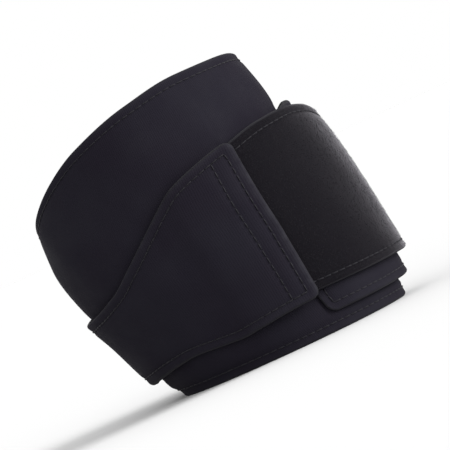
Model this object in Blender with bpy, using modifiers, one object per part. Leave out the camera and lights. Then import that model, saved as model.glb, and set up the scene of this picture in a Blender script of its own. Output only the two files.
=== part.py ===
"""Tennis elbow strap: a contoured neoprene cuff for the forearm, and a band round it that closes on itself.

The band is three sheets: a backing on the cuff, a loop-faced tension strap over it, and a closing flap
that comes round the other side and ends on the strap. The tables are in millimetres and degrees, and the
meshes in metres. The cuff stands on its lower rim at Z = 0, with the elbow's end up. An angle goes round the
cuff from the middle of its front: 0 faces -Y and 90 faces +X. The sheets count their angles from the closing
line, where the flap ends.
"""

import math

import bmesh
import bpy

MM = 0.001

# Wall thicknesses. The backing's front edge is skived, under the strap, and so is the strap's end, under the
# flap.
CUFF_WALL = 4.0
SHEET_WALL = 3.0
SKIVED_WALL = 1.0
STRAP_TIP_WALL = 1.5

# Where a sheet's inner face lies, as its distance from the cuff: on the cuff itself, on one sheet that
# lies on the cuff, and at the closing line, where the strap climbs onto the backing and the flap ends on the
# strap
GAP = 0.4
ON_CUFF = GAP
ON_SHEET = ON_CUFF + SHEET_WALL + GAP
STRAP_AT_LINE = ON_CUFF + SKIVED_WALL + GAP
FLAP_AT_LINE = STRAP_AT_LINE + SHEET_WALL + GAP

# The forearm is an oval, less deep from front to back than it is wide, and this is its mean radius
DEPTH_RATIO = 0.92
GIRTH_RADIUS = 45.0

# The tables count X from the middle of the lower rim, and the part's origin is under the middle of its box
FOOTPRINT_CENTRE = (-8.3, 0.5)

# Rounding of the cut edges, which are those that turn by more than the sharp angle. Then the corners of the
# sheets, and the cuff's foot, upright so that its rim is flat.
EDGE_ROUND = 1.0
ROUND_SEGMENTS = 2
SHARP_ANGLE = 60.0
CORNER_RADIUS = 3.0
UPRIGHT_FOOT = 1.6

# How finely the walls are divided: columns round the cuff, degrees between a sheet's columns, and rows up
# each, with two columns in each rounded corner at these distances from the end
CUFF_COLUMNS = 64
CUFF_ROWS = 9
SHEET_COLUMN = 4.7
SHEET_ROWS = 8
CORNER_COLUMNS = (1.4, 3.2)


def table(names, *rows):
    """Named columns from the rows of a table."""
    return dict(zip(names, zip(*rows)))


# The cuff seen from the front: X of its left and right side by height
CUFF_OUTLINE = table(
    ("height", "left", "right"),
    (0.0, -40.2, 40.6),
    (5.0, -44.2, 40.0),
    (25.0, -53.2, 35.9),
    (36.4, -58.7, 33.8),
    (56.7, -64.0, 30.2),
    (70.7, -63.4, 27.5),
    (84.0, -62.3, 25.6),
    (98.0, -60.9, 21.9),
)

# The cuff's upper rim, which is low on the inner side of the elbow and high on the outer side
CUFF_RIM = table(
    ("angle", "height"),
    (-180, 82.0),
    (-150, 75.4),
    (-120, 71.0),
    (-103, 70.2),
    (-90, 71.4),
    (-75, 75.4),
    (-60, 80.6),
    (-30, 90.2),
    (0, 96.4),
    (30, 99.2),
    (60, 99.0),
    (90, 97.8),
    (135, 92.0),
    (180, 82.0),
)

# The angle at which the flap ends, which leans with the forearm
CLOSING_LINE = table(
    ("height", "angle"),
    (13.3, 22.4),
    (40.0, 27.6),
    (70.8, 29.8),
)

# The sheets by the angle from the closing line. low and high are the heights of a sheet's edges, lift_low
# and lift_high how far its inner face is from the cuff there, crown what the middle adds to that, and wall
# its thickness. The band stands off the cuff most at the outer side of the forearm, 65 degrees from the line.
FLAP = table(
    ("along", "low", "high", "lift_low", "lift_high"),
    (-217, 13.5, 53.0, ON_SHEET, ON_SHEET),
    (-199, 13.5, 50.0, ON_SHEET, ON_SHEET),
    (-186, 13.3, 46.0, ON_CUFF, ON_CUFF),
    (-160, 12.0, 40.0, ON_CUFF, ON_CUFF),
    (-114, 7.7, 35.4, 1.3, ON_CUFF),
    (-92, 9.0, 37.2, 1.0, ON_CUFF),
    (-72, 11.0, 41.4, ON_CUFF, ON_CUFF),
    (-58, 12.0, 47.6, ON_CUFF, ON_CUFF),
    (-43, 11.3, 56.4, ON_CUFF, ON_CUFF),
    (-36, 11.0, 61.0, 0.9, 0.9),
    (-28, 11.6, 65.6, 2.5, 2.5),
    (-12, 12.9, 70.2, 4.1, 4.1),
    (-5, 13.2, 71.6, 4.8, 4.8),
    (0, 13.3, 72.3, FLAP_AT_LINE, FLAP_AT_LINE),
)
STRAP = table(
    ("along", "low", "high", "lift_low", "lift_high", "crown", "wall"),
    (-28, 18.0, 59.0, ON_CUFF, ON_CUFF, 0.0, STRAP_TIP_WALL),
    (-14, 16.5, 65.5, ON_CUFF, ON_CUFF, 0.0, 2.6),
    (-9, 16.0, 67.5, ON_CUFF, ON_CUFF, 0.0, SHEET_WALL),
    (0, 15.2, 71.0, STRAP_AT_LINE, STRAP_AT_LINE, 0.0, SHEET_WALL),
    (18, 14.8, 74.0, ON_SHEET, ON_SHEET, 0.0, SHEET_WALL),
    (33, 14.6, 74.6, 4.6, 4.9, 0.4, SHEET_WALL),
    (48, 14.6, 72.9, 5.8, 6.7, 0.8, SHEET_WALL),
    (57, 14.6, 70.4, 6.3, 7.8, 1.0, SHEET_WALL),
    (65, 14.6, 69.2, 6.3, 8.2, 1.0, SHEET_WALL),
    (80, 15.0, 67.5, 5.5, 6.9, 0.7, SHEET_WALL),
    (98, 15.6, 64.0, 4.6, 5.2, 0.3, SHEET_WALL),
    (124, 16.2, 56.5, ON_SHEET, ON_SHEET, 0.0, SHEET_WALL),
    (142, 16.6, 50.9, ON_CUFF, ON_CUFF, 0.0, SHEET_WALL),
    (163, 17.0, 45.0, ON_CUFF, ON_CUFF, 0.0, SHEET_WALL),
)
BACKING = table(
    ("along", "low", "high", "lift_low", "lift_high", "crown", "wall"),
    (1, 6.2, 66.0, ON_CUFF, ON_CUFF, 0.0, SKIVED_WALL),
    (18, 6.2, 71.0, ON_CUFF, ON_CUFF, 0.0, SHEET_WALL),
    (33, 6.2, 72.8, 0.7, 0.9, 0.4, SHEET_WALL),
    (48, 6.4, 75.2, 1.2, 1.7, 1.3, SHEET_WALL),
    (65, 6.8, 76.2, 1.5, 2.4, 2.0, SHEET_WALL),
    (80, 7.2, 74.0, 1.2, 1.7, 1.3, SHEET_WALL),
    (98, 8.0, 68.0, 0.6, 0.8, 0.5, SHEET_WALL),
    (122, 9.0, 60.0, ON_CUFF, ON_CUFF, 0.0, SHEET_WALL),
)

# Colours as linear light, and roughness
NEOPRENE = {"colour": (0.020, 0.018, 0.024), "roughness": 0.72}
LOOP_FABRIC = {"colour": (0.014, 0.013, 0.017), "roughness": 0.92}


def slopes(places, values):
    """The slope at each row of a table that keeps the curve between two rows from overshooting them."""
    steps = [(values[i + 1] - values[i]) / (places[i + 1] - places[i]) for i in range(len(places) - 1)]
    inner = [0.0 if a * b <= 0 else 2 * a * b / (a + b) for a, b in zip(steps, steps[1:])]
    return [steps[0], *inner, steps[-1]]


def read(rows, key, column, place):
    """A column of a table at any place along its key, on a smooth curve through the rows."""
    places, values = rows[key], rows[column]
    place = min(max(place, places[0]), places[-1])
    row = max(i for i in range(len(places) - 1) if places[i] <= place)
    step = places[row + 1] - places[row]
    t = (place - places[row]) / step
    slope = slopes(places, values)
    return (
        (1 + 2 * t) * (1 - t) ** 2 * values[row]
        + t * (1 - t) ** 2 * step * slope[row]
        + t * t * (3 - 2 * t) * values[row + 1]
        + t * t * (t - 1) * step * slope[row + 1]
    )


def wall_point(angle, height, lift=0.0):
    """The point, in metres, that lies lift outside the cuff at this angle and height."""
    level = max(height, UPRIGHT_FOOT)
    left = read(CUFF_OUTLINE, "height", "left", level)
    right = read(CUFF_OUTLINE, "height", "right", level)
    half_width = (right - left) / 2
    half_depth = DEPTH_RATIO * half_width
    turn = math.radians(angle)
    slant_x, slant_y = math.sin(turn) / half_width, -math.cos(turn) / half_depth
    outward = lift / math.hypot(slant_x, slant_y)
    x = (left + right) / 2 + half_width * math.sin(turn) + outward * slant_x
    y = -half_depth * math.cos(turn) + outward * slant_y
    return (x - FOOTPRINT_CENTRE[0]) * MM, (y - FOOTPRINT_CENTRE[1]) * MM, height * MM


def add_wall(mesh, columns, closed):
    """Adds the wall through columns of points, facing away from the forearm. Returns its vertices."""
    made = [[mesh.verts.new(point) for point in column] for column in columns]
    pairs = list(zip(made, made[1:]))
    if closed:
        pairs.append((made[-1], made[0]))
    for left, right in pairs:
        for row in range(len(left) - 1):
            mesh.faces.new((left[row], right[row], right[row + 1], left[row + 1]))
    mesh.verts.index_update()
    return made


def corner_drop(distance):
    """How much a rounded corner takes off a sheet's edge at this distance from its end."""
    if distance >= CORNER_RADIUS:
        return 0.0
    return CORNER_RADIUS - math.sqrt(CORNER_RADIUS**2 - (CORNER_RADIUS - distance) ** 2)


def sheet_stations(rows):
    """The angle of each column of a sheet, and its distance from the nearer end."""
    first, last = rows["along"][0], rows["along"][-1]
    degree = math.radians(GIRTH_RADIUS)
    corner = [distance / degree for distance in CORNER_COLUMNS]
    start, end = first + corner[-1], last - corner[-1]
    count = math.ceil((end - start) / SHEET_COLUMN)
    middle = [start + (end - start) * i / count for i in range(count + 1)]
    angles = [first, first + corner[0], *middle, last - corner[0], last]
    return [(angle, min(angle - first, last - angle) * degree) for angle in angles]


def sheet_column(rows, along, from_end):
    """The points up one column of a sheet's inner face."""
    value = {name: read(rows, "along", name, along) for name in rows}
    low = value["low"] + corner_drop(from_end)
    high = value["high"] - corner_drop(from_end)
    points = []
    for row in range(SHEET_ROWS + 1):
        up = row / SHEET_ROWS
        height = low + up * (high - low)
        angle = along + read(CLOSING_LINE, "height", "angle", height)
        lift = value["lift_low"] + up * (value["lift_high"] - value["lift_low"])
        lift += value.get("crown", 0.0) * math.sin(math.pi * up)
        points.append(wall_point(angle, height, lift))
    return points


def material(name, look):
    made = bpy.data.materials.new(name)
    made.use_nodes = True
    shader = made.node_tree.nodes["Principled BSDF"]
    shader.inputs["Base Color"].default_value = (*look["colour"], 1.0)
    shader.inputs["Roughness"].default_value = look["roughness"]
    shader.inputs["Metallic"].default_value = 0.0
    made.diffuse_color = (*look["colour"], 1.0)
    return made


def add_piece(name, mesh, look, collection):
    """Makes a named object from a bmesh, shaded smooth, with its own material."""
    data = bpy.data.meshes.new(name)
    mesh.to_mesh(data)
    mesh.free()
    data.shade_smooth()
    data.materials.append(material(name, look))
    piece = bpy.data.objects.new(name, data)
    collection.objects.link(piece)
    return piece


def thicken(piece, wall, side, group=""):
    """Gives an open wall its thickness, outwards for side 1 and inwards for -1, and rounds its edges."""
    solid = piece.modifiers.new("wall", "SOLIDIFY")
    solid.thickness = wall * MM
    solid.offset = side
    solid.vertex_group = group
    solid.use_even_offset = True
    solid.use_quality_normals = True
    edge = piece.modifiers.new("rounded edges", "BEVEL")
    edge.width = EDGE_ROUND * MM
    edge.segments = ROUND_SEGMENTS
    edge.limit_method = "ANGLE"
    edge.angle_limit = math.radians(SHARP_ANGLE)


def neoprene_cuff(collection):
    """The closed tube against the skin, flat at its lower rim and slanting at its upper one."""
    columns = []
    for i in range(CUFF_COLUMNS):
        angle = -180 + 360 * i / CUFF_COLUMNS
        rise = read(CUFF_RIM, "angle", "height", angle) - UPRIGHT_FOOT
        heights = [0.0] + [UPRIGHT_FOOT + rise * row / CUFF_ROWS for row in range(CUFF_ROWS + 1)]
        columns.append([wall_point(angle, height) for height in heights])
    mesh = bmesh.new()
    add_wall(mesh, columns, closed=True)
    piece = add_piece("neoprene_cuff", mesh, NEOPRENE, collection)
    thicken(piece, CUFF_WALL, -1)


def band_sheet(name, rows, look, collection):
    """One sheet of the band. Where its table has a wall column, its thickness follows that."""
    stations = sheet_stations(rows)
    mesh = bmesh.new()
    columns = [sheet_column(rows, along, from_end) for along, from_end in stations]
    made = add_wall(mesh, columns, closed=False)
    members = [[vertex.index for vertex in column] for column in made]
    piece = add_piece(name, mesh, look, collection)
    if "wall" not in rows:
        thicken(piece, SHEET_WALL, 1)
        return
    group = piece.vertex_groups.new(name="wall")
    for (along, _), column in zip(stations, members):
        group.add(column, read(rows, "along", "wall", along) / SHEET_WALL, "REPLACE")
    thicken(piece, SHEET_WALL, 1, group.name)


def main():
    for old in list(bpy.data.objects):
        bpy.data.objects.remove(old, do_unlink=True)
    collection = bpy.data.collections.new("tennis_elbow_strap")
    bpy.context.scene.collection.children.link(collection)
    neoprene_cuff(collection)
    band_sheet("strap_backing", BACKING, NEOPRENE, collection)
    band_sheet("tension_strap", STRAP, LOOP_FABRIC, collection)
    band_sheet("closing_flap", FLAP, NEOPRENE, collection)


main()
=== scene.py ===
"""The looks of the tennis elbow strap: its four cloth pieces as fine meshes, with stitching and fabrics.

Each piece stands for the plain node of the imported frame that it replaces, and follows the same outlines.
Sizes are in millimetres and degrees, and Blender gets metres. The cuff stands on its lower rim with the
elbow's end up. An angle goes round it from the middle of its front: 0 faces -Y and 90 faces +X. The sheets
of the band count theirs from the closing line, where the flap ends.
"""

import math

import bpy
import numpy as np
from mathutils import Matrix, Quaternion, Vector
from mathutils.kdtree import KDTree


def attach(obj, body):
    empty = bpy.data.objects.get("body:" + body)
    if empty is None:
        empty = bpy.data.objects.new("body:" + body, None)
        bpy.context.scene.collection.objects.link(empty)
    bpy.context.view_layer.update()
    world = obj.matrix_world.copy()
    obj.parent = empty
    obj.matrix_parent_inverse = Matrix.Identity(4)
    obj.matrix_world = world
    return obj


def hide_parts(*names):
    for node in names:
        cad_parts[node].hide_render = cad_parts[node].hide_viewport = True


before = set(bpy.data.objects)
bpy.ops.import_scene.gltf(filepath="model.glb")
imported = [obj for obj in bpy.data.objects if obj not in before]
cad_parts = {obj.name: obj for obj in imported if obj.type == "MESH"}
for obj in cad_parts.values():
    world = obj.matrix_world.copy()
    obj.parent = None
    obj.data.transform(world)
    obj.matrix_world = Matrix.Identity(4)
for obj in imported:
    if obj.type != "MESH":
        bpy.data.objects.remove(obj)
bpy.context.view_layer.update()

MM = 0.001

# Wall thicknesses. The backing's front edge is skived, under the strap, and so is the strap's end, under
# the flap.
CUFF_WALL = 4.0
SHEET_WALL = 3.0
SKIVED_WALL = 1.0
STRAP_TIP_WALL = 1.5

# Where a sheet's inner face lies, as its distance from the cuff: on the cuff itself, on one sheet that
# lies on the cuff, and at the closing line, where the strap climbs onto the backing and the flap ends on
# the strap
GAP = 0.4
ON_CUFF = GAP
ON_SHEET = ON_CUFF + SHEET_WALL + GAP
STRAP_AT_LINE = ON_CUFF + SKIVED_WALL + GAP
FLAP_AT_LINE = STRAP_AT_LINE + SHEET_WALL + GAP

# The forearm is an oval, less deep from front to back than it is wide. Round its mean radius, a degree is
# this many millimetres long.
DEPTH_RATIO = 0.92
GIRTH_RADIUS = 45.0
DEGREE = math.radians(GIRTH_RADIUS)

# The tables count X from the middle of the lower rim, and the part's origin is under the middle of its
# box. The cuff's foot is upright, so that its rim is flat.
FOOTPRINT_CENTRE = (-8.3, 0.5)
UPRIGHT_FOOT = 1.6

# Rounding of the cut edges, which takes up at most this share of a thin wall, and of the sheets' corners
EDGE_ROUND = 1.1
THIN_ROUND = 0.45
CORNER_RADIUS = 3.0

# How finely the cloth is divided: steps in a rounded edge, then columns and rows between these edges. A
# slope is measured this many degrees to each side.
EDGE_STEPS = 5
CUFF_COLUMNS = 300
CUFF_ROWS = 84
SHEET_STEP = 0.9
SHEET_ROWS = 56
SLOPE_STEP = 0.5

# A place through the wall, as a share of its thickness
OUTSIDE = 1
INSIDE = 0

# The looks of a piece of cloth, by their place in its list
OUTER_LOOK, CUT_LOOK, INNER_LOOK = range(3)

# The thread: how thick it is, the sides and rings of its mesh, and how high it rises over the cloth and
# dips at the needle holes
THREAD = 0.42
THREAD_SIDES = 6
THREAD_RINGS = 7
THREAD_RISE = 0.20
THREAD_DIP = 0.30

# The rows of stitches: a stitch's length, how far a row is from an edge, how far the hook patch's row is
# from the flap's end, and how close a path's points are, in millimetres and, along a rim, in degrees
STITCH = 2.8
EDGE_SEAM = 3.0
HOOK_SEAM = 8.5
PATH_STEP = 0.5
RIM_STEP = 0.5

# How far the cloth is drawn in along a row and at each needle hole, and how wide those dents are
ROW_DENT = 0.30
ROW_DENT_WIDTH = 1.0
HOLE_DENT = 0.22
HOLE_DENT_WIDTH = 0.7

# The cuff's own seam, a flat zigzag up its back: its angle, half its width, its stitch, and how far from
# the rims it ends
BACK_SEAM = 172.0
ZIGZAG = 1.3
ZIGZAG_STITCH = 1.5
SEAM_INSET = 0.8

# The knit's columns and rows, how far a column wanders, as a share of its width, and how high the relief
# of its rows is beside that of its columns
KNIT_COLUMN = 0.72
KNIT_ROW = 0.56
KNIT_WANDER = 0.5
KNIT_ROW_RELIEF = 0.25

# How far the cut edges are rubbed paler, and how much. Then how far a painted highlight reaches from the
# flap's end, and how strong it is: the light that the end's rounded edge catches, painted on as paler
# colour.
WEAR_REACH = 1.5
WEAR = 0.5
END_HIGHLIGHT_REACH = 2.8
END_HIGHLIGHT = 1.0

# The outer fabric goes this far round into the cut edge
FABRIC_TURN = 0.45

# The loop fabric's loose fibres: how many are sown, how long, how high and how thick they are, how far
# they bend aside, how deep they are rooted, and how far they keep from the edges. They bend at this share
# of their length, and their tips keep this share of their height.
FIBRES = 16000
FIBRE_LENGTH = (0.5, 1.2)
FIBRE_HEIGHT = (0.10, 0.28)
FIBRE_THICKNESS = 0.05
FIBRE_SWAY = 0.20
FIBRE_ROOT = 0.05
FIBRE_INSET = 0.8
FIBRE_BEND = 0.45
FIBRE_DROOP = 0.4
FIBRE_SIDES = 3
FIBRE_SEED = 7

# The height of the cloth's waves. The cuff swells by so much beside the band that grips it, and most so far
# from the band.
WAVE = 0.22
SWELL = 0.45
SWELL_REACH = 4.5

# The camera looks along +Y from just above the floor. The picture is this wide at the strap, and turned so
# that the cuff leans as it does when worn. Nothing nearer to the camera than the nearest distance is drawn.
VIEW_CENTRE = (3.3, 0.0, 46.6)
VIEW_WIDTH = 151.2
VIEW_DISTANCE = 1600.0
VIEW_ELEVATION = 1.0
VIEW_ROLL = 24.9
VIEW_NEAREST = 50.0
SENSOR = 36.0

# The floor, and the light all round
FLOOR_REACH = 6000.0
FLOOR_COLOUR = (0.615, 0.615, 0.615)
FLOOR_ROUGHNESS = 0.9
WORLD_STRENGTH = 1.0

# Colours as linear light
NEOPRENE_DARK = (0.0072, 0.0059, 0.0097)
NEOPRENE_LIGHT = (0.0089, 0.0081, 0.0121)
NEOPRENE_YARN = (0.0109, 0.0098, 0.0141)
# Paler colour for rubbed edges, also used for the painted highlight along the flap's end
NEOPRENE_WORN_AND_HIGHLIT = (0.0210, 0.0205, 0.0250)
FOAM_CUT = (0.0110, 0.0105, 0.0130)
FOAM_PORE = (0.0045, 0.0043, 0.0055)
LOOP_DARK = (0.0032, 0.0028, 0.0040)
LOOP_LIGHT = (0.0044, 0.0039, 0.0052)
LOOP_TIP = (0.0079, 0.0072, 0.0090)
FIBRE_COLOUR = (0.0190, 0.0182, 0.0205)
THREAD_DARK = (0.0060, 0.0055, 0.0078)
THREAD_LIGHT = (0.0110, 0.0104, 0.0130)

# The constant values of each material. A pattern takes the place of a roughness that varies.
FINISH_SOCKETS = ("Roughness", "Sheen Weight", "Sheen Roughness", "Sheen Tint", "Specular IOR Level")
FINISHES = {
    "neoprene_jersey": (0.8, 0.01, 0.4, (0.78, 0.75, 0.85, 1.0), 0.04),
    "neoprene_foam": (0.92, 0.03, 0.5, (0.8, 0.8, 0.85, 1.0), 0.06),
    "loop_pile": (0.95, 0.84, 0.30, (0.80, 0.77, 0.83, 1.0), 0.02),
    "loose_fibre": (0.7, 0.0, 0.5, (1.0, 1.0, 1.0, 1.0), 0.1),
    "thread": (0.6, 0.03, 0.4, (0.8, 0.8, 0.85, 1.0), 0.12),
}

# The scales of the materials' patterns, from coarse to fine, in patches to a metre
PATCH_SCALE = 38.0
DULLNESS_SCALE = 90.0
RUBBING_SCALE = 260.0
CLUMP_SCALE = 340.0
WANDER_SCALE = 900.0
TWIST_SCALE = 2200.0
PILE_SCALE = 2400.0
PORE_SCALE = 2600.0

# The Mix node's sockets for colours, which are named like those for numbers
MIX_FIRST, MIX_SECOND, MIX_RESULT = 6, 7, 2


def table(names, *rows):
    """Named columns from the rows of a table."""
    return dict(zip(names, zip(*rows)))


# The waves that all the layers share: each one's share of their height, how many go round, how many
# millimetres of height turn it by a radian, and where it starts
WAVES = table(
    ("share", "round", "climb", "start"),
    (0.5, 5, 9.0, 0.0),
    (0.3, 9, -13.0, 1.7),
    (0.2, 14, 6.0, 0.6),
)

# The lamps by the side that they shine from
LAMPS = table(
    ("name", "azimuth", "elevation", "strength", "spread"),
    ("key", 75.0, 17.0, 5.5, 50.0),
    ("fill", 5.0, 8.0, 1.8, 60.0),
)

# The cuff seen from the front: X of its left and right side by height
CUFF_OUTLINE = table(
    ("height", "left", "right"),
    (0.0, -40.2, 40.6),
    (5.0, -44.2, 40.0),
    (25.0, -53.2, 35.9),
    (36.4, -58.7, 33.8),
    (56.7, -64.0, 30.2),
    (70.7, -63.4, 27.5),
    (84.0, -62.3, 25.6),
    (98.0, -60.9, 21.9),
)

# The cuff's upper rim, which is low on the inner side of the elbow and high on the outer side
CUFF_RIM = table(
    ("angle", "height"),
    (-180, 82.0),
    (-150, 75.4),
    (-120, 71.0),
    (-103, 70.2),
    (-90, 71.4),
    (-75, 75.4),
    (-60, 80.6),
    (-30, 90.2),
    (0, 96.4),
    (30, 99.2),
    (60, 99.0),
    (90, 97.8),
    (135, 92.0),
    (180, 82.0),
)

# The angle at which the flap ends, which leans with the forearm
CLOSING_LINE = table(
    ("height", "angle"),
    (13.3, 22.4),
    (40.0, 27.6),
    (70.8, 29.8),
)

# The sheets by the angle from the closing line. low and high are the heights of a sheet's edges, lift_low
# and lift_high how far its inner face is from the cuff there, crown what the middle adds to that, and wall
# its thickness. The band stands off the cuff most at the outer side of the forearm, 65 degrees from the
# line.
FLAP = table(
    ("along", "low", "high", "lift_low", "lift_high"),
    (-217, 13.5, 53.0, ON_SHEET, ON_SHEET),
    (-199, 13.5, 50.0, ON_SHEET, ON_SHEET),
    (-186, 13.3, 46.0, ON_CUFF, ON_CUFF),
    (-160, 12.0, 40.0, ON_CUFF, ON_CUFF),
    (-114, 7.7, 35.4, 1.3, ON_CUFF),
    (-92, 9.0, 37.2, 1.0, ON_CUFF),
    (-72, 11.0, 41.4, ON_CUFF, ON_CUFF),
    (-58, 12.0, 47.6, ON_CUFF, ON_CUFF),
    (-43, 11.3, 56.4, ON_CUFF, ON_CUFF),
    (-36, 11.0, 61.0, 0.9, 0.9),
    (-28, 11.6, 65.6, 2.5, 2.5),
    (-12, 12.9, 70.2, 4.1, 4.1),
    (-5, 13.2, 71.6, 4.8, 4.8),
    (0, 13.3, 72.3, FLAP_AT_LINE, FLAP_AT_LINE),
)
STRAP = table(
    ("along", "low", "high", "lift_low", "lift_high", "crown", "wall"),
    (-28, 18.0, 59.0, ON_CUFF, ON_CUFF, 0.0, STRAP_TIP_WALL),
    (-14, 16.5, 65.5, ON_CUFF, ON_CUFF, 0.0, 2.6),
    (-9, 16.0, 67.5, ON_CUFF, ON_CUFF, 0.0, SHEET_WALL),
    (0, 15.2, 71.0, STRAP_AT_LINE, STRAP_AT_LINE, 0.0, SHEET_WALL),
    (18, 14.8, 74.0, ON_SHEET, ON_SHEET, 0.0, SHEET_WALL),
    (33, 14.6, 74.6, 4.6, 4.9, 0.4, SHEET_WALL),
    (48, 14.6, 72.9, 5.8, 6.7, 0.8, SHEET_WALL),
    (57, 14.6, 70.4, 6.3, 7.8, 1.0, SHEET_WALL),
    (65, 14.6, 69.2, 6.3, 8.2, 1.0, SHEET_WALL),
    (80, 15.0, 67.5, 5.5, 6.9, 0.7, SHEET_WALL),
    (98, 15.6, 64.0, 4.6, 5.2, 0.3, SHEET_WALL),
    (124, 16.2, 56.5, ON_SHEET, ON_SHEET, 0.0, SHEET_WALL),
    (142, 16.6, 50.9, ON_CUFF, ON_CUFF, 0.0, SHEET_WALL),
    (163, 17.0, 45.0, ON_CUFF, ON_CUFF, 0.0, SHEET_WALL),
)
BACKING = table(
    ("along", "low", "high", "lift_low", "lift_high", "crown", "wall"),
    (1, 6.2, 66.0, ON_CUFF, ON_CUFF, 0.0, SKIVED_WALL),
    (18, 6.2, 71.0, ON_CUFF, ON_CUFF, 0.0, SHEET_WALL),
    (33, 6.2, 72.8, 0.7, 0.9, 0.4, SHEET_WALL),
    (48, 6.4, 75.2, 1.2, 1.7, 1.3, SHEET_WALL),
    (65, 6.8, 76.2, 1.5, 2.4, 2.0, SHEET_WALL),
    (80, 7.2, 74.0, 1.2, 1.7, 1.3, SHEET_WALL),
    (98, 8.0, 68.0, 0.6, 0.8, 0.5, SHEET_WALL),
    (122, 9.0, 60.0, ON_CUFF, ON_CUFF, 0.0, SHEET_WALL),
)


def read(rows, key, column, place):
    """A column of a table at any places along its key, on a smooth curve through the rows."""
    places, values = np.array(rows[key], float), np.array(rows[column], float)
    step = np.diff(places)
    rate = np.diff(values) / step
    together = rate[:-1] * rate[1:] > 0
    total = np.where(together, rate[:-1] + rate[1:], 1.0)
    inner = np.where(together, 2 * rate[:-1] * rate[1:] / total, 0.0)
    slope = np.concatenate([rate[:1], inner, rate[-1:]])
    place = np.clip(place, places[0], places[-1])
    row = np.clip(np.searchsorted(places, place, side="right") - 1, 0, len(step) - 1)
    t = (place - places[row]) / step[row]
    return (
        (1 + 2 * t) * (1 - t) ** 2 * values[row]
        + t * (1 - t) ** 2 * step[row] * slope[row]
        + t * t * (3 - 2 * t) * values[row + 1]
        + t * t * (t - 1) * step[row] * slope[row + 1]
    )


def rim_height(angle):
    """The height of the cuff's upper rim."""
    return read(CUFF_RIM, "angle", "height", angle)


def closing_angle(height):
    """The angle of the closing line, from which the sheets count theirs."""
    return read(CLOSING_LINE, "height", "angle", height)


def waves(angle, height):
    """The shared unevenness of all the layers, so that none of them comes through another."""
    turn = np.radians(angle)
    total = 0.0
    for share, times_round, climb, start in zip(*WAVES.values()):
        total = total + share * np.sin(times_round * turn + height / climb + start)
    return WAVE * total


def wall_point(angle, height, lift):
    """The points, in metres, that lie lift outside the cuff at these angles and heights."""
    level = np.maximum(height, UPRIGHT_FOOT)
    left = read(CUFF_OUTLINE, "height", "left", level)
    right = read(CUFF_OUTLINE, "height", "right", level)
    half_width = (right - left) / 2
    half_depth = DEPTH_RATIO * half_width
    turn = np.radians(angle)
    slant_x, slant_y = np.sin(turn) / half_width, -np.cos(turn) / half_depth
    outward = (lift + waves(angle, height)) / np.hypot(slant_x, slant_y)
    x = (left + right) / 2 + half_width * np.sin(turn) + outward * slant_x
    y = -half_depth * np.cos(turn) + outward * slant_y
    return np.stack([x - FOOTPRINT_CENTRE[0], y - FOOTPRINT_CENTRE[1], height + 0 * x], axis=-1) * MM


def quarter_circle(radius, distance):
    """How far a quarter circle draws a face in at this distance from where it ends."""
    short = np.clip(radius - distance, 0, radius)
    return radius - np.sqrt(radius**2 - short**2)


def rounding(edge, wall):
    """How much a face is drawn in at this distance from the cut edge."""
    return quarter_circle(np.minimum(EDGE_ROUND, THIN_ROUND * wall), edge)


def falloff(distance, reach, most):
    """How much paler the cloth is made at this distance from where it is palest, for rubbed edges and for a
    painted highlight.
    """
    return most * np.clip(1 - distance / reach, 0, 1)


def slope_length(curve, place):
    """How much longer a step along a curve of heights is than the same step round the forearm."""
    rise = curve(place + SLOPE_STEP) - curve(place - SLOPE_STEP)
    return np.hypot(1, rise / (2 * SLOPE_STEP * DEGREE))


def graded(low, high, count):
    """Heights from each low to each high, close together in the rounded edges and even between them."""
    steps = EDGE_ROUND * (1 - np.cos(np.linspace(0, math.pi / 2, EDGE_STEPS, endpoint=False)))
    even = np.linspace(low + EDGE_ROUND, high - EDGE_ROUND, count, axis=-1)
    return np.concatenate([low[..., None] + steps, even, high[..., None] - steps[::-1]], axis=-1)


def path_between(*corners):
    """A path of straight stretches between corners, each a place and a height, its points close together."""
    place, height = np.array(corners, float).T
    length = np.concatenate([[0], np.cumsum(np.hypot(np.diff(place) * DEGREE, np.diff(height)))])
    at = np.linspace(0, length[-1], math.ceil(length[-1] / PATH_STEP) + 1)
    return np.interp(at, length, place), np.interp(at, length, height)


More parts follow.
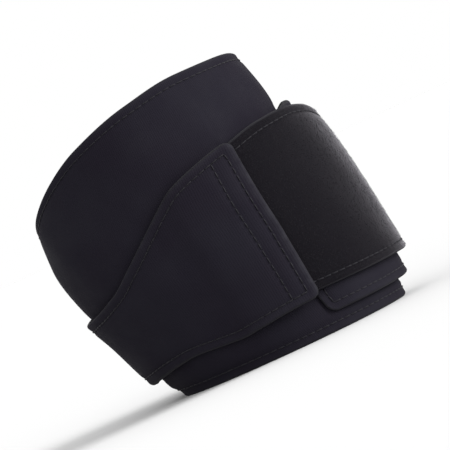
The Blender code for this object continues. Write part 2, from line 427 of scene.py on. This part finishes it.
class Cuff:
    """The closed tube against the skin. A place on it is an angle and a height."""

    closed = True
    stitched_faces = (OUTSIDE, INSIDE)

    def grid(self):
        """The places of its mesh, column by column."""
        angle = np.linspace(-180, 180, CUFF_COLUMNS, endpoint=False)
        height = graded(0 * angle, rim_height(angle), CUFF_ROWS)
        return np.repeat(angle[:, None], height.shape[1], axis=1), height

    def edge(self, angle, height):
        """How far a place is from the nearer rim."""
        above = (rim_height(angle) - height) / slope_length(rim_height, angle)
        return np.maximum(np.minimum(height, above), 0)

    def swelling(self, angle, height):
        """How far the cloth swells out just below and above the band."""
        along = (angle - closing_angle(height) + 180) % 360 - 180
        on_strap = (along >= 0) & (along <= BACKING["along"][-1])
        on_flap = np.where(along > 0, along - 360, along)
        low, high = (
            np.where(on_strap, read(BACKING, "along", side, along), read(FLAP, "along", side, on_flap))
            for side in ("low", "high")
        )
        clear = np.maximum(np.maximum(low - height, height - high), 0) / SWELL_REACH
        fade = np.clip(self.edge(angle, height) / SWELL_REACH, 0, 1)
        return SWELL * clear * np.exp(1 - clear) * fade * fade

    def point(self, angle, height, share, dent=0.0):
        """The point at this share of the wall's thickness, drawn in by a dent."""
        drawn = rounding(self.edge(angle, height), CUFF_WALL) + dent
        lift = (share - 1) * CUFF_WALL + share * self.swelling(angle, height)
        return wall_point(angle, height, lift - (2 * share - 1) * drawn)

    def edge_paleness(self, angle, height):
        """How rubbed the cloth is, from 0 to 1."""
        return falloff(self.edge(angle, height), WEAR_REACH, WEAR)

    def rows_of_stitches(self):
        """A row beside each rim, and the zigzag up the back."""
        angle = np.arange(-180, 180 + RIM_STEP, RIM_STEP)
        seam_top = float(rim_height(BACK_SEAM)) - SEAM_INSET
        seam = path_between((BACK_SEAM, SEAM_INSET), (BACK_SEAM, seam_top))
        return [
            needle_row(self, (angle, 0 * angle + EDGE_SEAM)),
            needle_row(self, (angle, rim_height(angle) - EDGE_SEAM)),
            needle_row(self, seam, ZIGZAG_STITCH, ZIGZAG),
        ]


class Sheet:
    """A sheet of the band. A place on it is its angle from the closing line and a height."""

    closed = False
    stitched_faces = (OUTSIDE,)
    plain = {"wall": SHEET_WALL, "crown": 0.0}

    def __init__(self, rows, extra_paths=(), painted_end_highlight=False):
        self.rows = rows
        self.extra_paths = extra_paths
        self.painted_end_highlight = painted_end_highlight

    def value(self, column, along):
        """A column of its table, or the plain value where the table has no such column."""
        if column not in self.rows:
            return self.plain[column] + 0.0 * along
        return read(self.rows, "along", column, along)

    def slant(self, column, along):
        """How much longer a step along a slanting edge is than the same step round the forearm."""
        return slope_length(lambda place: self.value(column, place), along)

    def from_end(self, along):
        """How far a place is from the nearer end."""
        return np.minimum(along - self.rows["along"][0], self.rows["along"][-1] - along) * DEGREE

    def grid(self):
        """The places of its mesh, column by column."""
        first, last = self.rows["along"][0] * DEGREE, self.rows["along"][-1] * DEGREE
        count = math.ceil((last - first) / SHEET_STEP)
        along = graded(np.array(first), np.array(last), count) / DEGREE
        drop = quarter_circle(CORNER_RADIUS, self.from_end(along))
        height = graded(self.value("low", along) + drop, self.value("high", along) - drop, SHEET_ROWS)
        return np.repeat(along[:, None], height.shape[1], axis=1), height

    def edge(self, along, height):
        """How far a place is from the nearest edge, the corners being rounded."""
        end = self.from_end(along)
        below = (height - self.value("low", along)) / self.slant("low", along)
        above = (self.value("high", along) - height) / self.slant("high", along)
        side = np.minimum(below, above)
        corner = np.hypot(np.maximum(CORNER_RADIUS - end, 0), np.maximum(CORNER_RADIUS - side, 0))
        nearest = np.minimum(end, side)
        return np.maximum(np.where(nearest >= CORNER_RADIUS, nearest, CORNER_RADIUS - corner), 0)

    def point(self, along, height, share, dent=0.0):
        """The point at this share of the wall's thickness, drawn in by a dent."""
        low, high, wall = (self.value(column, along) for column in ("low", "high", "wall"))
        up = np.clip((height - low) / (high - low), 0, 1)
        lift = (1 - up) * self.value("lift_low", along) + up * self.value("lift_high", along)
        lift = lift + self.value("crown", along) * np.sin(math.pi * up) + share * wall
        drawn = rounding(self.edge(along, height), wall) + dent
        return wall_point(along + closing_angle(height), height, lift - (2 * share - 1) * drawn)

    def edge_paleness(self, along, height):
        """How much paler the cloth is made, from 0 to 1: rubbed at its edges, and, on the flap, a painted
        highlight along its end.
        """
        pale_share = falloff(self.edge(along, height), WEAR_REACH, WEAR)
        if not self.painted_end_highlight:
            return pale_share
        # The flap's end gets a painted highlight, palest at the end: light caught by its rounded edge,
        # painted on.
        from_last = (self.rows["along"][-1] - along) * DEGREE
        return np.maximum(pale_share, falloff(from_last, END_HIGHLIGHT_REACH, END_HIGHLIGHT))

    def edge_path(self):
        """A closed path beside the low edge, the last end, the high edge and the first end."""
        inset = EDGE_SEAM / DEGREE
        first, last = self.rows["along"][0] + inset, self.rows["along"][-1] - inset
        along = np.arange(first, last, PATH_STEP / DEGREE)
        low = self.value("low", along) + EDGE_SEAM * self.slant("low", along)
        high = self.value("high", along) - EDGE_SEAM * self.slant("high", along)
        end = path_between((along[-1], low[-1]), (along[-1], high[-1]))
        start = path_between((along[0], high[0]), (along[0], low[0]))
        stretches = (along, low), end, (along[::-1], high[::-1]), start
        return tuple(np.concatenate(column) for column in zip(*stretches))

    def rows_of_stitches(self):
        """The row all round it, and its own further rows."""
        return [needle_row(self, path) for path in [self.edge_path(), *self.extra_paths]]


def needle_row(cloth, path, pitch=STITCH, zigzag=0.0):
    """A row of stitches: its path, and its needle holes a whole number of stitches apart along it."""
    place, height = path
    step = np.linalg.norm(np.diff(cloth.point(place, height, OUTSIDE), axis=0), axis=1) / MM
    length = np.concatenate([[0], np.cumsum(step)])
    count = max(round(length[-1] / pitch), 1)
    at = np.linspace(0, length[-1], count + 1)
    side = zigzag * (-1.0) ** np.arange(count + 1)
    return {
        "path": path,
        "holes": (np.interp(at, length, place) + side / DEGREE, np.interp(at, length, height)),
    }


def dents(cloth, rows, place, height):
    """How far the stitching draws the cloth in at these places."""
    points = cloth.point(place, height, OUTSIDE)
    sunk = np.zeros(place.shape)
    for part, depth, width in (("path", ROW_DENT, ROW_DENT_WIDTH), ("holes", HOLE_DENT, HOLE_DENT_WIDTH)):
        spots = np.concatenate([cloth.point(*row[part], OUTSIDE) for row in rows])
        tree = KDTree(len(spots))
        for i, spot in enumerate(spots):
            tree.insert(spot, i)
        tree.balance()
        away = np.array([tree.find(point)[2] for point in points.reshape(-1, 3)]) / MM
        sunk += depth * np.exp(-((away.reshape(place.shape) / width) ** 2))
    return sunk


def unit(vectors):
    """Vectors of length 1 that point the same ways."""
    return vectors / np.linalg.norm(vectors, axis=-1, keepdims=True)


def point_and_outward(cloth, place, height, share, dent):
    """A point of the cloth, drawn in by a dent, and the direction that leads out of the cloth there."""
    point = cloth.point(place, height, share, dent)
    return point, unit(cloth.point(place, height, share, dent - 1) - point)


def quads(*corners):
    """Four-cornered faces, from the vertex numbers of their first corners, their second and so on."""
    return np.stack(corners, axis=-1).reshape(-1, 4)


def wall_faces(columns, rows, closed):
    """The faces of a wall between two grids of points, outer and inner, and the look of each."""
    outer = np.arange(columns * rows).reshape(columns, rows)
    if closed:
        outer = np.concatenate([outer, outer[:1]])
    inner = outer + columns * rows
    outside = quads(outer[:-1, :-1], outer[1:, :-1], outer[1:, 1:], outer[:-1, 1:])
    inside = quads(inner[:-1, :-1], inner[:-1, 1:], inner[1:, 1:], inner[1:, :-1])
    cut = [
        quads(inner[:-1, 0], inner[1:, 0], outer[1:, 0], outer[:-1, 0]),
        quads(outer[:-1, -1], outer[1:, -1], inner[1:, -1], inner[:-1, -1]),
    ]
    if not closed:
        cut.append(quads(inner[0, :-1], outer[0, :-1], outer[0, 1:], inner[0, 1:]))
        cut.append(quads(outer[-1, :-1], inner[-1, :-1], inner[-1, 1:], outer[-1, 1:]))
    cut = np.concatenate(cut)
    looks = np.repeat([OUTER_LOOK, INNER_LOOK, CUT_LOOK], [len(outside), len(inside), len(cut)])
    return np.concatenate([outside, inside, cut]), looks


def make_mesh(name, vertices, faces, looks):
    """A smooth-shaded object from arrays, that rides on the part's body."""
    data = bpy.data.meshes.new(name)
    data.from_pydata(vertices.tolist(), [], faces)
    data.shade_smooth()
    for look in looks:
        data.materials.append(look)
    piece = bpy.data.objects.new(name, data)
    bpy.context.scene.collection.objects.link(piece)
    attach(piece, "root")
    return piece


def mark_cloth(piece, cloth, place, height, faces):
    """Gives a piece the coordinates of its knit, in metres round and up it, and how much paler it is made:
    rubbed edges, and the flap end's painted highlight.
    """
    along = np.tile(place.ravel() * DEGREE * MM, 2)[faces]
    girth = 360 * DEGREE * MM
    along += girth * (along < along.max(axis=1, keepdims=True) - girth / 2)
    up = np.tile(height.ravel() * MM, 2)[faces]
    layer = piece.data.uv_layers.new(name="cloth")
    layer.data.foreach_set("uv", np.stack([along, up], axis=-1).ravel().astype(np.float32))
    edge_paleness = piece.data.attributes.new("edge_paleness", "FLOAT", "POINT")
    edge_paleness.data.foreach_set("value", np.tile(cloth.edge_paleness(place, height).ravel(), 2).astype(np.float32))


def shell(name, cloth, rows, looks):
    """A closed piece of cloth. Its looks are those of the outer face, the cut edge and the inner face."""
    place, height = cloth.grid()
    dent = dents(cloth, rows, place, height)
    sides = [cloth.point(place, height, share, dent).reshape(-1, 3) for share in (OUTSIDE, INSIDE)]
    faces, look_of_face = wall_faces(*place.shape, cloth.closed)
    piece = make_mesh(name, np.concatenate(sides), faces.tolist(), looks)
    edge = np.tile(cloth.edge(place, height).ravel(), 2)
    look_of_face[edge[faces].mean(axis=1) < FABRIC_TURN] = CUT_LOOK
    piece.data.polygons.foreach_set("material_index", look_of_face.astype(np.int32))
    mark_cloth(piece, cloth, place, height, faces)
    return piece


def threads(name, cloth, rows, look):
    """All the stitches of a piece: from each needle hole an arc of thread over the cloth to the next."""
    t = np.linspace(0, 1, THREAD_RINGS)
    rise = (-THREAD_DIP + (THREAD_RISE + THREAD_DIP) * np.sqrt(np.sin(math.pi * t)))[None, :, None] * MM
    turn = np.linspace(0, 2 * math.pi, THREAD_SIDES, endpoint=False)
    circle = THREAD / 2 * MM * np.stack([np.cos(turn), np.sin(turn)])
    arcs = []
    for row in rows:
        for share in cloth.stitched_faces:
            hole, up = point_and_outward(cloth, *row["holes"], share, ROW_DENT)
            up = up[:-1, None]
            step = np.diff(hole, axis=0)[:, None]
            side = unit(np.cross(step, up))
            middle = hole[:-1, None] + step * t[None, :, None] + up * rise
            ring = side[:, :, None] * circle[0][:, None] + up[:, :, None] * circle[1][:, None]
            arcs.append(middle[:, :, None] + ring)
    arcs = np.concatenate(arcs)
    index = np.arange(arcs[..., 0].size).reshape(len(arcs), THREAD_RINGS, THREAD_SIDES)
    after = np.roll(index, -1, axis=2)
    sides = quads(index[:, :-1], after[:, :-1], after[:, 1:], index[:, 1:])
    caps = np.concatenate([index[:, 0, ::-1], index[:, -1]])
    return make_mesh(name, arcs.reshape(-1, 3), sides.tolist() + caps.tolist(), [look])


def loose_fibres(name, sheet, rows, look):
    """The pile's fibres that stand up from a sheet's outer face, bent, pointed and lying any way round."""
    chance = np.random.default_rng(FIBRE_SEED)
    along = chance.uniform(sheet.rows["along"][0], sheet.rows["along"][-1], FIBRES)
    low, high = sheet.value("low", along), sheet.value("high", along)
    height = low + (high - low) * chance.uniform(0, 1, FIBRES)
    inside = sheet.edge(along, height) > FIBRE_INSET
    along, height = along[inside], height[inside]
    count = len(along)
    depth = dents(sheet, rows, along, height) + FIBRE_ROOT
    root, up = point_and_outward(sheet, along, height, OUTSIDE, depth)
    level = sheet.point(along + SLOPE_STEP, height, OUTSIDE) - sheet.point(along, height, OUTSIDE)
    level = unit(level - up * np.sum(level * up, axis=1, keepdims=True))
    turn = chance.uniform(0, 2 * math.pi, (count, 1))
    lean = np.cos(turn) * level + np.sin(turn) * np.cross(up, level)
    side = np.cross(lean, up)
    reach = lean * chance.uniform(*FIBRE_LENGTH, (count, 1)) * MM
    rise = up * chance.uniform(*FIBRE_HEIGHT, (count, 1)) * MM
    sway = side * chance.uniform(-FIBRE_SWAY, FIBRE_SWAY, (count, 1)) * MM
    corners = np.linspace(0, 2 * math.pi, FIBRE_SIDES, endpoint=False)
    ring = np.stack([side * math.cos(angle) + up * math.sin(angle) for angle in corners], axis=1)
    ring *= FIBRE_THICKNESS / 2 * MM
    bend, tip = root + FIBRE_BEND * reach + rise + sway, root + reach + FIBRE_DROOP * rise
    points = np.concatenate([root[:, None] + ring, bend[:, None] + ring, tip[:, None]], axis=1)
    first = points.shape[1] * np.arange(count)[:, None]
    n = FIBRE_SIDES
    pairs = [(i, (i + 1) % n) for i in range(n)]
    sides = [first + [b, a, a + n, b + n] for a, b in pairs]
    ends = [first + [b + n, a + n, 2 * n] for a, b in pairs] + [first + list(range(n))]
    faces = np.concatenate(sides).tolist() + np.concatenate(ends).tolist()
    return make_mesh(name, points.reshape(-1, 3), faces, [look])


def add(tree, kind, *values, **settings):
    """Adds a node. values fill its first inputs, each a number or another node's output."""
    made = tree.nodes.new(kind)
    for name, setting in settings.items():
        setattr(made, name, setting)
    for socket, value in zip(made.inputs, values):
        plug(tree, socket, value)
    return made


def plug(tree, socket, value):
    """Gives an input a number, or the output of a node."""
    if isinstance(value, bpy.types.Node):
        value = value.outputs[0]
    if isinstance(value, bpy.types.NodeSocket):
        tree.links.new(value, socket)
    else:
        socket.default_value = value


def calculate(tree, operation, *values):
    """Adds a sum or another calculation with these values."""
    return add(tree, "ShaderNodeMath", *values, operation=operation)


def object_coordinates(tree):
    """Where a point is on its piece, in metres."""
    return add(tree, "ShaderNodeTexCoord").outputs["Object"]


def noise(tree, vector, scale, detail, roughness=0.5):
    """Cloudy patches, about this many to a metre."""
    made = add(tree, "ShaderNodeTexNoise")
    plug(tree, made.inputs["Vector"], vector)
    made.inputs["Scale"].default_value = scale
    made.inputs["Detail"].default_value = detail
    made.inputs["Roughness"].default_value = roughness
    return made


def blend_colours(tree, factor, first, second):
    """A colour between two, by a factor from 0 to 1."""
    made = add(tree, "ShaderNodeMix", data_type="RGBA")
    plug(tree, made.inputs["Factor"], factor)
    plug(tree, made.inputs[MIX_FIRST], (*first, 1.0) if isinstance(first, tuple) else first)
    plug(tree, made.inputs[MIX_SECOND], (*second, 1.0) if isinstance(second, tuple) else second)
    return made.outputs[MIX_RESULT]


def spread(tree, value, low, high, to_low=0.0, to_high=1.0):
    """A value's range from low to high, stretched to another range and kept within it."""
    made = add(tree, "ShaderNodeMapRange")
    plug(tree, made.inputs["Value"], value)
    for name, number in (("From Min", low), ("From Max", high), ("To Min", to_low), ("To Max", to_high)):
        made.inputs[name].default_value = number
    return made


def relief(tree, shader, height, strength, depth):
    """Gives a shader a relief, this many millimetres deep at its full strength."""
    bump = add(tree, "ShaderNodeBump")
    bump.inputs["Strength"].default_value = strength
    bump.inputs["Distance"].default_value = depth * MM
    plug(tree, bump.inputs["Height"], height)
    plug(tree, shader.inputs["Normal"], bump)


def new_material(name):
    """A material whose constant values are set. Returns it, its nodes and its shader."""
    made = bpy.data.materials.new(name)
    made.use_nodes = True
    tree = made.node_tree
    shader = tree.nodes["Principled BSDF"]
    for socket, value in zip(FINISH_SOCKETS, FINISHES[name]):
        shader.inputs[socket].default_value = value
    return made, tree, shader


def knit_height(tree, cloth, around):
    """The relief of a plain knit: columns of stacked Vs, slightly uneven."""
    uneven = noise(tree, around, WANDER_SCALE, detail=1.0)
    shift = calculate(tree, "MULTIPLY", calculate(tree, "SUBTRACT", uneven, 0.5), KNIT_WANDER)
    parts = add(tree, "ShaderNodeSeparateXYZ", cloth)
    across = calculate(tree, "DIVIDE", parts.outputs[0], KNIT_COLUMN * MM)
    up = calculate(tree, "DIVIDE", parts.outputs[1], KNIT_ROW * MM)
    across = calculate(tree, "ADD", across, shift)
    off_middle = calculate(tree, "PINGPONG", across, 0.5)
    slanted = calculate(tree, "ADD", up, off_middle)
    loops = calculate(tree, "SINE", calculate(tree, "MULTIPLY", slanted, 2 * math.pi))
    column = calculate(tree, "SINE", calculate(tree, "MULTIPLY", off_middle, math.pi))
    return calculate(tree, "ADD", calculate(tree, "MULTIPLY", loops, KNIT_ROW_RELIEF), column)


def neoprene_material():
    """Knitted nylon on neoprene foam: near black, faintly violet, and greyer where its edges are rubbed and
    where a highlight is painted along the flap's end.
    """
    made, tree, shader = new_material("neoprene_jersey")
    cloth = add(tree, "ShaderNodeUVMap", uv_map="cloth")
    around = object_coordinates(tree)
    patches = spread(tree, noise(tree, around, PATCH_SCALE, detail=3.0), 0.35, 0.65)
    colour = blend_colours(tree, patches, NEOPRENE_DARK, NEOPRENE_LIGHT)
    yarn = knit_height(tree, cloth, around)
    colour = blend_colours(tree, spread(tree, yarn, 0.1, 1.1, to_high=0.35), colour, NEOPRENE_YARN)
    pale_share = add(tree, "ShaderNodeAttribute", attribute_name="edge_paleness").outputs["Fac"]
    uneven = spread(tree, noise(tree, around, RUBBING_SCALE, detail=4.0, roughness=0.6), 0.25, 0.65)
    colour = blend_colours(tree, calculate(tree, "MULTIPLY", pale_share, uneven), colour, NEOPRENE_WORN_AND_HIGHLIT)
    plug(tree, shader.inputs["Base Color"], colour)
    dullness = noise(tree, around, DULLNESS_SCALE, detail=3.0)
    plug(tree, shader.inputs["Roughness"], spread(tree, dullness, 0.3, 0.7, to_low=0.70, to_high=0.90))
    relief(tree, shader, yarn, strength=0.5, depth=0.08)
    return made


def foam_material():
    """The cut edge of the foam: dull, with fine pores."""
    made, tree, shader = new_material("neoprene_foam")
    pores = add(tree, "ShaderNodeTexVoronoi")
    plug(tree, pores.inputs["Vector"], object_coordinates(tree))
    pores.inputs["Scale"].default_value = PORE_SCALE
    from_pore = spread(tree, pores.outputs["Distance"], 0.05, 0.5)
    plug(tree, shader.inputs["Base Color"], blend_colours(tree, from_pore, FOAM_PORE, FOAM_CUT))
    relief(tree, shader, from_pore, strength=0.6, depth=0.15)
    return made


def loop_material():
    """Brushed loop fabric: darker than the neoprene from the front, and pale where it is seen aslant."""
    made, tree, shader = new_material("loop_pile")
    around = object_coordinates(tree)
    clumps = noise(tree, around, CLUMP_SCALE, detail=4.0, roughness=0.6)
    fibres = noise(tree, around, PILE_SCALE, detail=6.0, roughness=0.85)
    colour = blend_colours(tree, spread(tree, clumps, 0.3, 0.7), LOOP_DARK, LOOP_LIGHT)
    colour = blend_colours(tree, spread(tree, fibres, 0.45, 0.65, to_high=0.8), colour, LOOP_TIP)
    plug(tree, shader.inputs["Base Color"], colour)
    plug(tree, shader.inputs["Roughness"], spread(tree, clumps, 0.3, 0.7, to_low=0.88, to_high=1.0))
    relief(tree, shader, fibres, strength=0.6, depth=0.12)
    return made


def fibre_material():
    """Loose nylon fibre."""
    made, _, shader = new_material("loose_fibre")
    shader.inputs["Base Color"].default_value = (*FIBRE_COLOUR, 1.0)
    return made


def thread_material():
    """Twisted polyester thread, a little glossier than the cloth."""
    made, tree, shader = new_material("thread")
    twist = noise(tree, object_coordinates(tree), TWIST_SCALE, detail=2.0)
    colour = blend_colours(tree, spread(tree, twist, 0.35, 0.65), THREAD_DARK, THREAD_LIGHT)
    plug(tree, shader.inputs["Base Color"], colour)
    relief(tree, shader, twist, strength=0.5, depth=0.1)
    return made


def plain_floor():
    """A pale floor, as bright in this light as the white behind it."""
    data = bpy.data.meshes.new("floor")
    reach = FLOOR_REACH * MM
    corners = [(-reach, -reach, 0), (reach, -reach, 0), (reach, reach, 0), (-reach, reach, 0)]
    data.from_pydata(corners, [], [(0, 1, 2, 3)])
    look = bpy.data.materials.new("floor")
    look.use_nodes = True
    shader = look.node_tree.nodes["Principled BSDF"]
    shader.inputs["Base Color"].default_value = (*FLOOR_COLOUR, 1.0)
    shader.inputs["Roughness"].default_value = FLOOR_ROUGHNESS
    shader.inputs["Specular IOR Level"].default_value = 0.0
    data.materials.append(look)
    floor = bpy.data.objects.new("floor", data)
    bpy.context.scene.collection.objects.link(floor)


def studio_lights():
    """White all round, and large soft lamps so far off that the whole floor is lit alike."""
    world = bpy.data.worlds.new("studio")
    world.use_nodes = True
    background = world.node_tree.nodes["Background"]
    background.inputs["Color"].default_value = (1.0, 1.0, 1.0, 1.0)
    background.inputs["Strength"].default_value = WORLD_STRENGTH
    bpy.context.scene.world = world
    for name, azimuth, elevation, strength, spread_angle in zip(*LAMPS.values()):
        data = bpy.data.lights.new(name, "SUN")
        data.energy = strength
        data.angle = math.radians(spread_angle)
        lamp = bpy.data.objects.new(name, data)
        turn, rise = math.radians(azimuth), math.radians(elevation)
        level = math.cos(rise)
        towards = Vector((math.sin(turn) * level, -math.cos(turn) * level, math.sin(rise)))
        lamp.rotation_mode = "QUATERNION"
        lamp.rotation_quaternion = towards.to_track_quat("Z", "Y")
        bpy.context.scene.collection.objects.link(lamp)
    settings = bpy.context.scene.view_settings
    settings.view_transform = "Standard"
    settings.look = "None"


def photo_camera():
    """A long lens from the front, just above the floor, turned so that the cuff leans as in the photo."""
    data = bpy.data.cameras.new("camera")
    data.sensor_width = SENSOR
    data.lens = SENSOR * VIEW_DISTANCE / VIEW_WIDTH
    data.clip_start = VIEW_NEAREST * MM
    data.clip_end = 3 * FLOOR_REACH * MM
    camera = bpy.data.objects.new("camera", data)
    rise = math.radians(VIEW_ELEVATION)
    back = Vector((0, -math.cos(rise), math.sin(rise)))
    camera.location = Vector(VIEW_CENTRE) * MM + back * VIEW_DISTANCE * MM
    camera.rotation_mode = "QUATERNION"
    roll = Quaternion((0, 0, 1), -math.radians(VIEW_ROLL))
    camera.rotation_quaternion = back.to_track_quat("Z", "Y") @ roll
    bpy.context.scene.collection.objects.link(camera)
    bpy.context.scene.camera = camera


def edge_heights(rows, along, inset):
    """The heights this far inside a sheet's low and high edges at one place."""
    low, high = (float(read(rows, "along", edge, along)) for edge in ("low", "high"))
    return low + inset, high - inset


def box_stitch(rows, start, stop):
    """Paths across the end of a sheet's stretch and along its diagonals. The edge's row closes the box."""
    start, stop = start + EDGE_SEAM / DEGREE, stop - EDGE_SEAM / DEGREE
    start_low, start_high = edge_heights(rows, start, EDGE_SEAM)
    stop_low, stop_high = edge_heights(rows, stop, EDGE_SEAM)
    return (
        path_between((stop, stop_low), (stop, stop_high)),
        path_between((start, start_low), (stop, stop_high)),
        path_between((stop, stop_low), (start, start_high)),
    )


def column_stitch(rows, along):
    """A path up a sheet at one place, between the rows of stitches beside its edges."""
    low, high = edge_heights(rows, along, EDGE_SEAM)
    return path_between((along, low), (along, high))


def dress(node, cloth, cloth_look, looks):
    """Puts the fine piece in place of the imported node, with its stitches."""
    rows = cloth.rows_of_stitches()
    piece = shell(node + "_cloth", cloth, rows, [looks[cloth_look], looks["foam"], looks["neoprene"]])
    additions = [threads(node + "_stitches", cloth, rows, looks["thread"])]
    if cloth_look == "loop":
        additions.append(loose_fibres(node + "_pile", cloth, rows, looks["fibre"]))
    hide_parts(node)
    return piece


def main():
    looks = {
        "neoprene": neoprene_material(),
        "loop": loop_material(),
        "foam": foam_material(),
        "fibre": fibre_material(),
        "thread": thread_material(),
    }
    flap_start, lap_end = FLAP["along"][:2]
    hook_row = FLAP["along"][-1] - HOOK_SEAM / DEGREE
    flap_paths = [*box_stitch(FLAP, flap_start, lap_end), column_stitch(FLAP, hook_row)]
    cuff = dress("neoprene_cuff", Cuff(), "neoprene", looks)
    backing = dress("strap_backing", Sheet(BACKING), "neoprene", looks)
    strap = dress("tension_strap", Sheet(STRAP), "loop", looks)
    # The flap's end is made paler, a painted highlight for the light its edge catches.
    flap = Sheet(FLAP, flap_paths, painted_end_highlight=True)
    dress("closing_flap", flap, "neoprene", looks)
    plain_floor()
    studio_lights()
    photo_camera()


main()
